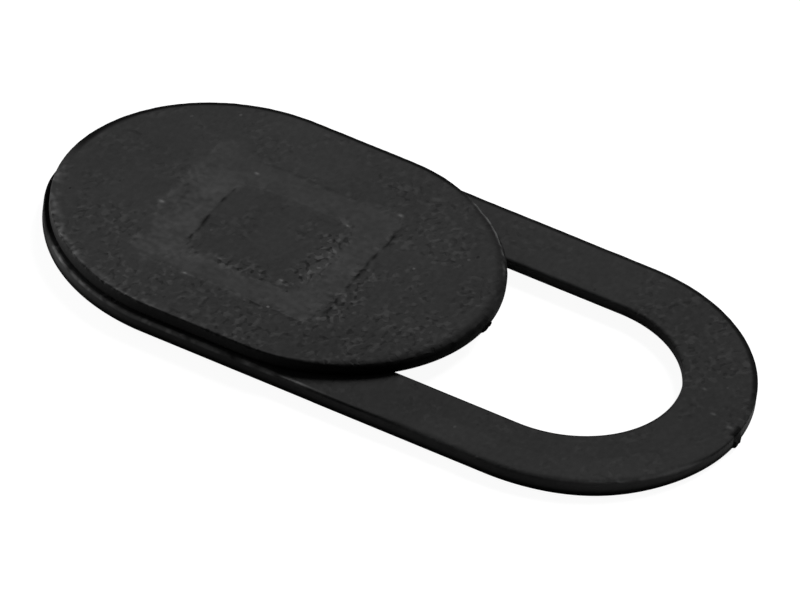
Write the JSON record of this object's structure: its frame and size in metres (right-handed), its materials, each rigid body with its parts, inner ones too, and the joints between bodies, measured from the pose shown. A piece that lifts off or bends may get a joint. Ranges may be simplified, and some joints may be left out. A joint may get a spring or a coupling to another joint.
{
  "type": "webcam cover slider",
  "caption": "Thin black pill-shaped webcam cover: a stick-on window frame with a hooked shutter that slides along it to cover or clear the camera.",
  "frame": {"origin": "centre of the adhesive's underside, where it meets the laptop bezel", "axes": "+X along the slide, from the open end to the closed end; +Z away from the laptop; the shutter is open at rest"},
  "size_m": [0.0183, 0.009, 0.0008],
  "materials": {
    "frame_plastic": "fine spark-eroded grain, matte black",
    "slider_plastic": "fine spark-eroded grain, matte black",
    "acrylic_tape": "soft, tacky and slightly glossy acrylic tape"
  },
  "bodies": {
    "frame": {"base_frame": "frame_plastic", "adhesive_ring": "acrylic_tape"},
    "shutter": {"slider": "slider_plastic"}
  },
  "joints": [
    {"name": "shutter_slide", "type": "slide", "parent": "frame", "child": "shutter", "axis": [1, 0, 0], "range_m": [0, 0.00663]}
  ]
}
